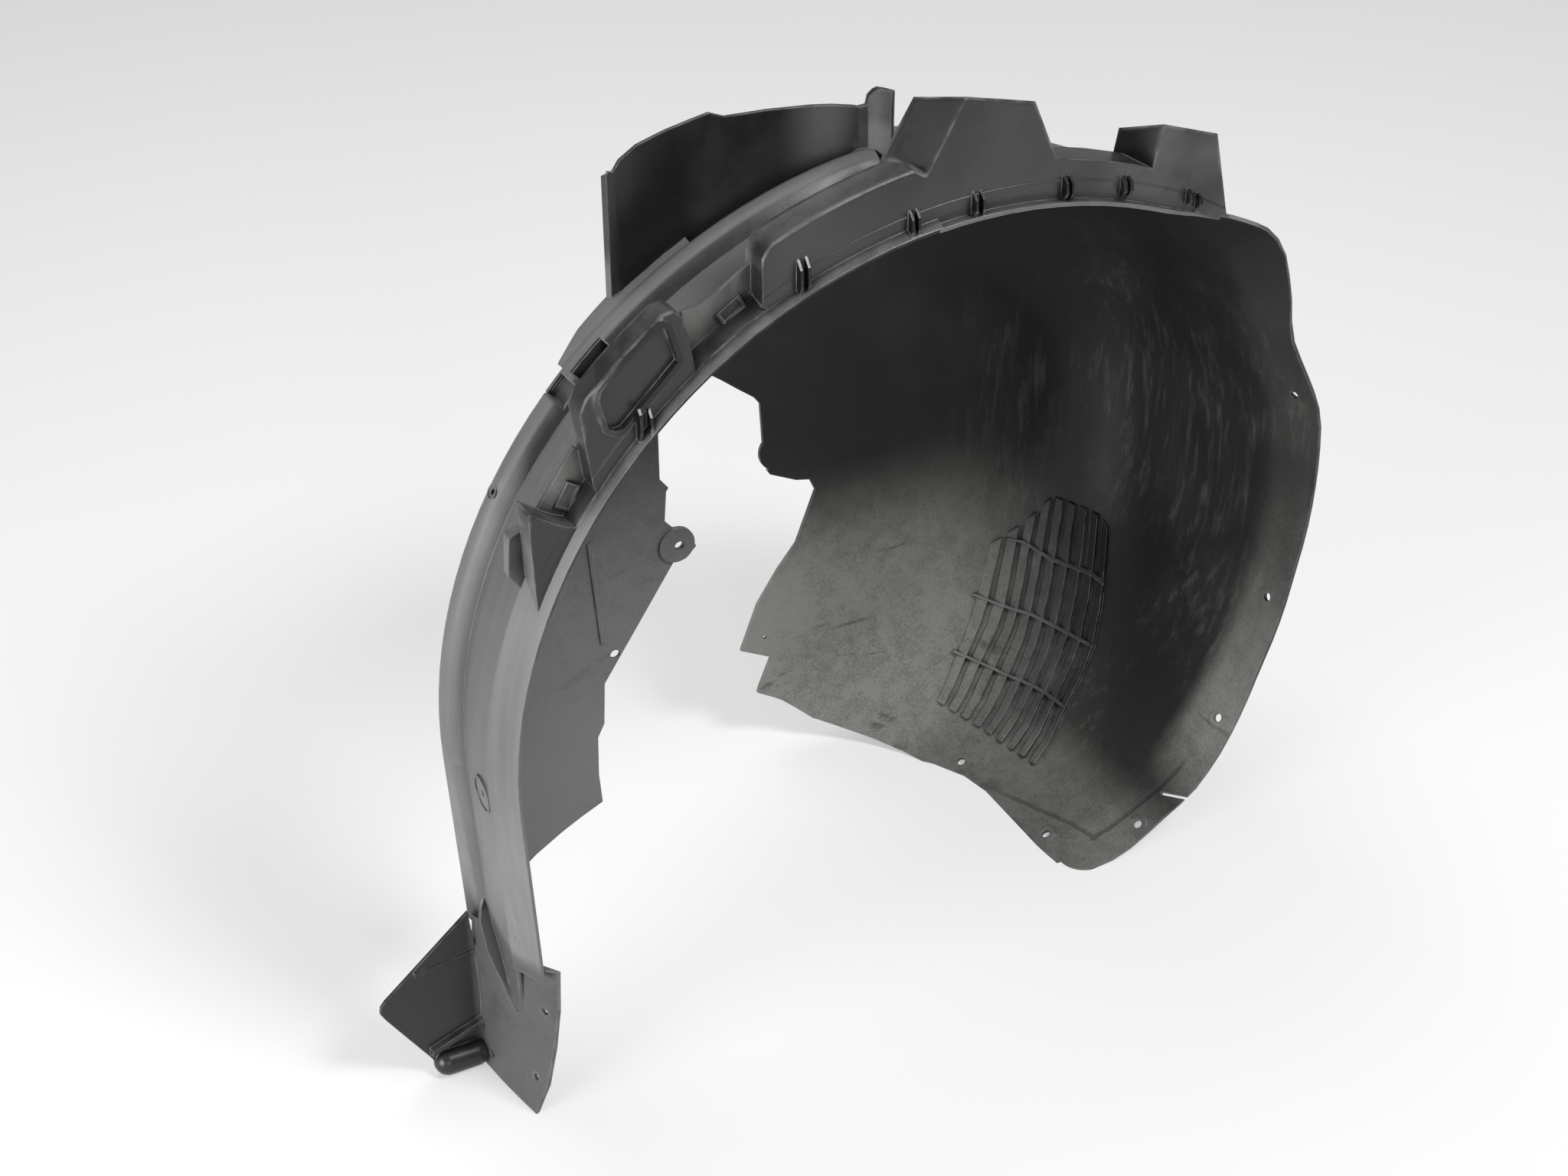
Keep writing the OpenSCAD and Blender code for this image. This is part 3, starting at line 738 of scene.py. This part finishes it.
@dataclass(frozen=True)
class TyreSkin(MouldedPlastic):
    """The side that faces the tyre: near black at the top, more road dust the lower it is."""

    reflect: float = 0.22
    zone: TyreZones = TyreZones()
    black: Colour = (0.0100, 0.0102, 0.0103)
    haze: Colour = (0.029, 0.029, 0.028)
    dust: Colour = (0.180, 0.179, 0.169)
    plate_dust: Colour = (0.178, 0.179, 0.181)
    scuff: Colour = (0.022, 0.022, 0.021)
    # patterns: clouds, mottling, sand, runs drawn downwards and scuffs drawn along
    clouding: Cloud = Cloud(6.0, 5.0, 0.55, 0.3)
    mottling: Cloud = Cloud(60.0, 6.0, 0.7)
    sand: Cloud = Cloud(520.0, 2.0, 0.6)
    runs: Cloud = Cloud(90.0, 6.0, 0.7, 0.3)
    run_shape: Point = (1.0, 1.0, 0.14)
    scuffs: Cloud = Cloud(22.0, 4.0, 0.6, 0.8)
    scuff_shape: Point = (0.5, 0.5, 1.6)
    cloud_share: Span = (0.36, 0.62)
    mottle_share: Span = (0.36, 0.64)
    sand_share: Span = (0.35, 0.65)
    haze_share: Span = (0.40, 0.70)
    run_share: Span = (0.48, 0.70)
    splash_share: Span = (0.38, 0.60)
    scuff_share: Span = (0.60, 0.68)
    # shares of each cover
    front_least: float = 0.15
    floor_lift: float = 0.055
    floor_least: float = 0.65
    floor_end: float = 0.50
    floor_cover: float = 0.62
    flange_high: float = 0.12
    flange_cover: float = 0.76
    plate_low: float = 0.35
    plate_cover: float = 0.72
    patch_base: float = 0.56
    patch_cloud: float = 0.24
    patch_mottle: float = 0.26
    patch_sand: float = 0.30
    plate_even: float = 0.7
    plate_base: float = 0.20
    haze_cloud: float = 0.6
    haze_sand: float = 0.25
    splash_cover: float = 0.26
    scuff_cover: float = 0.55
    plate_unscuffed: float = 0.6
    # fold line: its two stretches as slope and offset, how dark its painted shade is and how deep it is
    fold_front: tuple[float, float] = (0.055, 0.0987)
    fold_rear: tuple[float, float] = (0.33, 0.2240)
    fold_shade: float = 0.4
    fold_depth: float = 0.0010
    # roughness of the clean plastic, and what dust and mottling add
    rough: float = 0.46
    rough_dust: float = 0.34
    rough_mottle: float = 0.10

    def skin(self, spot: Spot) -> Skin:
        """Dust that thickens downwards and rearwards, with runs, splashes and scuffs.

        Args:
            spot: the point on the wall.

        Returns:
            The skin.
        """
        tree, zone = spot.tree, self.zone
        cloud = tree.noise(spot.place, self.clouding)
        fine = tree.noise(spot.place, self.mottling)
        sand = tree.noise(spot.place, self.sand)
        lower = spot.z.between(*zone.plate_z) + spot.z.between(*zone.plate_low_z) * self.plate_low
        plate = spot.x.between(*zone.plate_x) * lower
        cover = self.cover(spot).most(plate * self.plate_cover)
        coarse = cloud.between(*self.cloud_share) * self.patch_cloud
        patchy = coarse + fine.between(*self.mottle_share) * self.patch_mottle
        patchy = patchy + sand.between(*self.sand_share) * self.patch_sand
        uneven = patchy * (1.0 - plate * self.plate_even) + self.patch_base + plate * self.plate_base
        mottled = (cover * uneven).capped()

        hazy = cloud.between(*self.haze_share) * self.haze_cloud + sand * self.haze_sand
        haze = tree.mix(hazy.capped(), self.black, self.haze)
        streaked = tree.mix(self.splashed(spot, cloud) * self.splash_cover, haze, self.dust)
        dusty = tree.mix(mottled, streaked, tree.mix(plate.capped(), self.dust, self.plate_dust))
        smears = tree.noise(tree.scaled(spot.place, self.scuff_shape), self.scuffs)
        scuffs = smears.between(*self.scuff_share) * cover * (1.0 - plate * self.plate_unscuffed).capped()
        # the fold line darkened as painted shade
        folded = tree.mix((self.fold(spot) * self.fold_shade).capped(), dusty, self.black)
        colour = tree.mix((scuffs * self.scuff_cover).capped(), folded, self.scuff)
        rough = self.rough + mottled * self.rough_dust + fine * self.rough_mottle
        return Skin(colour, rough.capped())

    def cover(self, spot: Spot) -> Value:
        """Dust on the lower rear of the bowl, along its floor and on the front flange.

        Args:
            spot: the point on the wall.

        Returns:
            The share of dust, before it is made patchy.
        """
        zone = self.zone
        back_wall = spot.y.between(*zone.back_y).at_least(self.front_least)
        settled = spot.z.between(*zone.low_z) * spot.x.between(*zone.rear_x) * back_wall
        level = spot.z + spot.x.between(*zone.floor_lift_x) * self.floor_lift
        rear = spot.x.between(*zone.floor_rear_x).at_least(self.floor_least)
        rear = rear - spot.x.between(*zone.floor_end_x) * self.floor_end
        floor_band = level.between(*zone.floor_z) * rear
        high = spot.z.between(*zone.flange_high_z) * self.flange_high
        down = high + spot.z.between(*zone.flange_low_z) * (1.0 - self.flange_high)
        flange = spot.x.between(*zone.flange_x) * spot.y.between(*zone.flange_y) * down
        return settled.most(floor_band * self.floor_cover).most(flange * self.flange_cover)

    def splashed(self, spot: Spot, cloud: Value) -> Value:
        """Dried splashes that run down the front of the bowl.

        Args:
            spot: the point on the wall.
            cloud: the cloudy noise.

        Returns:
            1 in a splash and 0 elsewhere.
        """
        tree, zone = spot.tree, self.zone
        runs = tree.noise(tree.scaled(spot.place, self.run_shape), self.runs).between(*self.run_share)
        front = spot.x.between(*zone.splash_x) * spot.z.between(*zone.splash_z)
        return runs * front * cloud.between(*self.splash_share)

    def fold(self, spot: Spot) -> Value:
        """The fold line of the bottom flange.

        Args:
            spot: the point on the wall.

        Returns:
            1 on the line and 0 beside it.
        """
        zone = self.zone
        front = abs(spot.y + spot.x * self.fold_front[0] - self.fold_front[1]).between(*zone.fold_width)
        rear = abs(spot.x + spot.y * self.fold_rear[0] - self.fold_rear[1]).between(*zone.fold_width)
        rear = rear * spot.y.between(*zone.fold_rear_y) * spot.y.between(*zone.fold_fade_y)
        return (front * spot.x.between(*zone.fold_front_x) + rear).capped() * spot.z.between(*zone.fold_z)

    def step(self, spot: Spot) -> Value:
        """Depth of the fold line, in metres."""
        return self.fold(spot) * -self.fold_depth


@dataclass
class LinerShell:
    """The whole moulding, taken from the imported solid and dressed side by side."""

    crease_deg: float = 32.0
    weld: float = 0.00001
    lip_radius: float = 0.392
    # a face past the lip by this much is on the blocks, the towers or the strip
    rim_over: float = 0.03
    lip_slack: float = 0.01
    inwards_turn: float = -0.15
    inboard_turn: float = 0.85
    outboard_turn: float = -0.6
    plate_y: float = 0.1
    outer: MouldedPlastic = OuterSkin("outer_moulding")
    tyre: MouldedPlastic = TyreSkin("tyre_side_moulding")

    def side_of(self, centre: Vector, normal: Vector) -> Side:
        """Which side of the wall a face is on.

        Args:
            centre: the face's middle.
            normal: its outward direction.

        Returns:
            TYRE where the face looks at the wheel, OUTER elsewhere.
        """
        radial = Vector((centre.x, 0.0, centre.z)).normalized()
        reach = math.hypot(centre.x, centre.z)
        if reach > self.lip_radius + self.rim_over:
            return Side.OUTER
        if normal.dot(radial) < self.inwards_turn and normal.y < self.inboard_turn:
            return Side.TYRE
        on_plate = centre.y > self.plate_y and reach < self.lip_radius + self.lip_slack
        if normal.y < self.outboard_turn and on_plate:
            return Side.TYRE
        return Side.OUTER

    def dress(self, mesh: bpy.types.Mesh) -> None:
        """Merges the loose triangles and gives each face the plastic of its side.

        Args:
            mesh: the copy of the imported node's mesh.
        """
        if "custom_normal" in mesh.attributes:
            mesh.attributes.remove(mesh.attributes["custom_normal"])
        mesh.materials.clear()
        mesh.materials.append(self.outer.build())
        mesh.materials.append(self.tyre.build())
        form = bmesh.new()
        form.from_mesh(mesh)
        bmesh.ops.remove_doubles(form, verts=form.verts, dist=self.weld)
        bmesh.ops.dissolve_degenerate(form, dist=self.weld, edges=form.edges)
        for face in form.faces:
            face.material_index = self.side_of(face.calc_center_median(), face.normal).value
        form.to_mesh(mesh)
        form.free()
        mesh.shade_smooth()
        mesh.set_sharp_from_angle(angle=math.radians(self.crease_deg))

    def build(self) -> bpy.types.Object:
        """Makes the dressed shell.

        Returns:
            The finished piece.
        """
        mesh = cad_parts[NODE].data.copy()
        mesh.name = "liner_shell"
        shell = bpy.data.objects.new("liner_shell", mesh)
        bpy.context.scene.collection.objects.link(shell)
        self.dress(mesh)
        even = shell.modifiers.new("even_shading", "WEIGHTED_NORMAL")
        even.keep_sharp = True
        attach(shell, BODY)
        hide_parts(NODE)
        return shell


@dataclass(frozen=True)
class Lamp:
    """One soft square lamp: where it hangs, what it faces, its side in metres and its watts."""

    name: str
    at: Point
    target: Point
    size: float
    power: float

    def hang(self) -> None:
        """Puts the lamp in the scene, turned to its target."""
        lamp = bpy.data.lights.new(self.name, "AREA")
        lamp.energy = self.power
        lamp.size = self.size
        holder = bpy.data.objects.new(self.name, lamp)
        bpy.context.scene.collection.objects.link(holder)
        holder.location = self.at
        holder.rotation_euler = (Vector(self.target) - Vector(self.at)).to_track_quat("-Z", "Y").to_euler()


@dataclass
class Studio:
    """Floor, lights and camera."""

    floor_z: float = -0.3221
    floor_reach: float = 9.0
    floor_tone: Colour = (0.80, 0.80, 0.80)
    floor_lift: float = 0.41
    sky: float = 0.30
    white: Colour = (1.0, 1.0, 1.0)
    backdrop: Colour = (0.9, 0.9, 0.9)
    camera_at: Point = (-0.8182, -1.2669, 1.0483)
    camera_turn: Point = (57.0, 0.0, -27.0)
    lens: float = 52.73
    sensor: float = 36.0
    far: float = 50.0
    lamps: tuple[Lamp, ...] = (
        Lamp("key", (0.9, -1.7, 2.6), (0.0, 0.15, 0.0), 0.9, 84.0),
        Lamp("left_fill", (-2.5, -0.6, 0.30), (-0.3, 0.1, 0.0), 1.2, 52.0),
        Lamp("edge_light", (-0.95, -2.3, 0.55), (0.0, 0.1, 0.3), 0.35, 9.0),
        Lamp("overhead", (-0.3, 1.3, 2.6), (0.0, 0.15, 0.2), 1.6, 26.0),
    )

    def floor(self) -> bpy.types.Object:
        """Lays the plain pale floor.

        Returns:
            The floor.
        """
        mesh = bpy.data.meshes.new("floor")
        form = bmesh.new()
        level = Matrix.Translation((0.0, 0.0, self.floor_z))
        bmesh.ops.create_grid(form, x_segments=1, y_segments=1, size=self.floor_reach, matrix=level)
        form.to_mesh(mesh)
        form.free()
        floor = bpy.data.objects.new("floor", mesh)
        bpy.context.scene.collection.objects.link(floor)
        mesh.materials.append(self.floor_finish())
        return floor

    def floor_finish(self) -> bpy.types.Material:
        """Matt pale floor, lifted towards white where the camera sees it.

        Returns:
            The material.
        """
        material = bpy.data.materials.new("pale_floor")
        material.use_nodes = True
        tree = Tree(material.node_tree)
        matt = tree.add("ShaderNodeBsdfDiffuse", {}, {"Color": (*self.floor_tone, 1.0)}, "BSDF")
        white = tree.add("ShaderNodeEmission", {}, {"Color": (*self.white, 1.0), "Strength": 1.0}, "Emission")
        seen = tree.add("ShaderNodeLightPath", {}, {}, "Is Camera Ray")
        lift = (seen + seen.beside("Is Glossy Ray")).capped() * self.floor_lift
        tree.finish(tree.add("ShaderNodeMixShader", {}, {0: lift, 1: matt, 2: white}, "Shader"))
        return material

    def surroundings(self) -> bpy.types.World:
        """Faint white light from all round, behind a plain backdrop.

        Returns:
            The world.
        """
        world = bpy.data.worlds.new("surroundings")
        world.use_nodes = True
        tree = Tree(world.node_tree, "ShaderNodeOutputWorld")
        shades = [
            tree.add("ShaderNodeBackground", {}, {"Color": (*tone, 1.0), "Strength": strength}, "Background")
            for tone, strength in ((self.white, self.sky), (self.backdrop, 1.0))
        ]
        seen = tree.add("ShaderNodeLightPath", {}, {}, "Is Camera Ray")
        tree.finish(tree.add("ShaderNodeMixShader", {}, {0: seen, 1: shades[0], 2: shades[1]}, "Shader"))
        return world

    def camera(self) -> bpy.types.Object:
        """Sets the camera at the photograph's place and angle.

        Returns:
            The camera.
        """
        lens = bpy.data.cameras.new("camera")
        lens.lens = self.lens
        lens.sensor_width = self.sensor
        lens.sensor_fit = "HORIZONTAL"
        lens.clip_end = self.far
        holder = bpy.data.objects.new("camera", lens)
        bpy.context.scene.collection.objects.link(holder)
        holder.location = self.camera_at
        holder.rotation_euler = tuple(math.radians(angle) for angle in self.camera_turn)
        return holder

    def build(self) -> None:
        """Sets up the whole studio."""
        scene = bpy.context.scene
        self.floor()
        scene.world = self.surroundings()
        for lamp in self.lamps:
            lamp.hang()
        scene.camera = self.camera()
        scene.view_settings.view_transform = "Standard"


def main() -> None:
    """Builds every piece and reports it."""
    logging.basicConfig(level=logging.INFO, format="%(name)s: %(message)s")
    shell = LinerShell().build()
    LOG.info("%s: %d faces", shell.name, len(shell.data.polygons))
    Studio().build()
    LOG.info("studio ready")


if __name__ == "__main__":
    main()
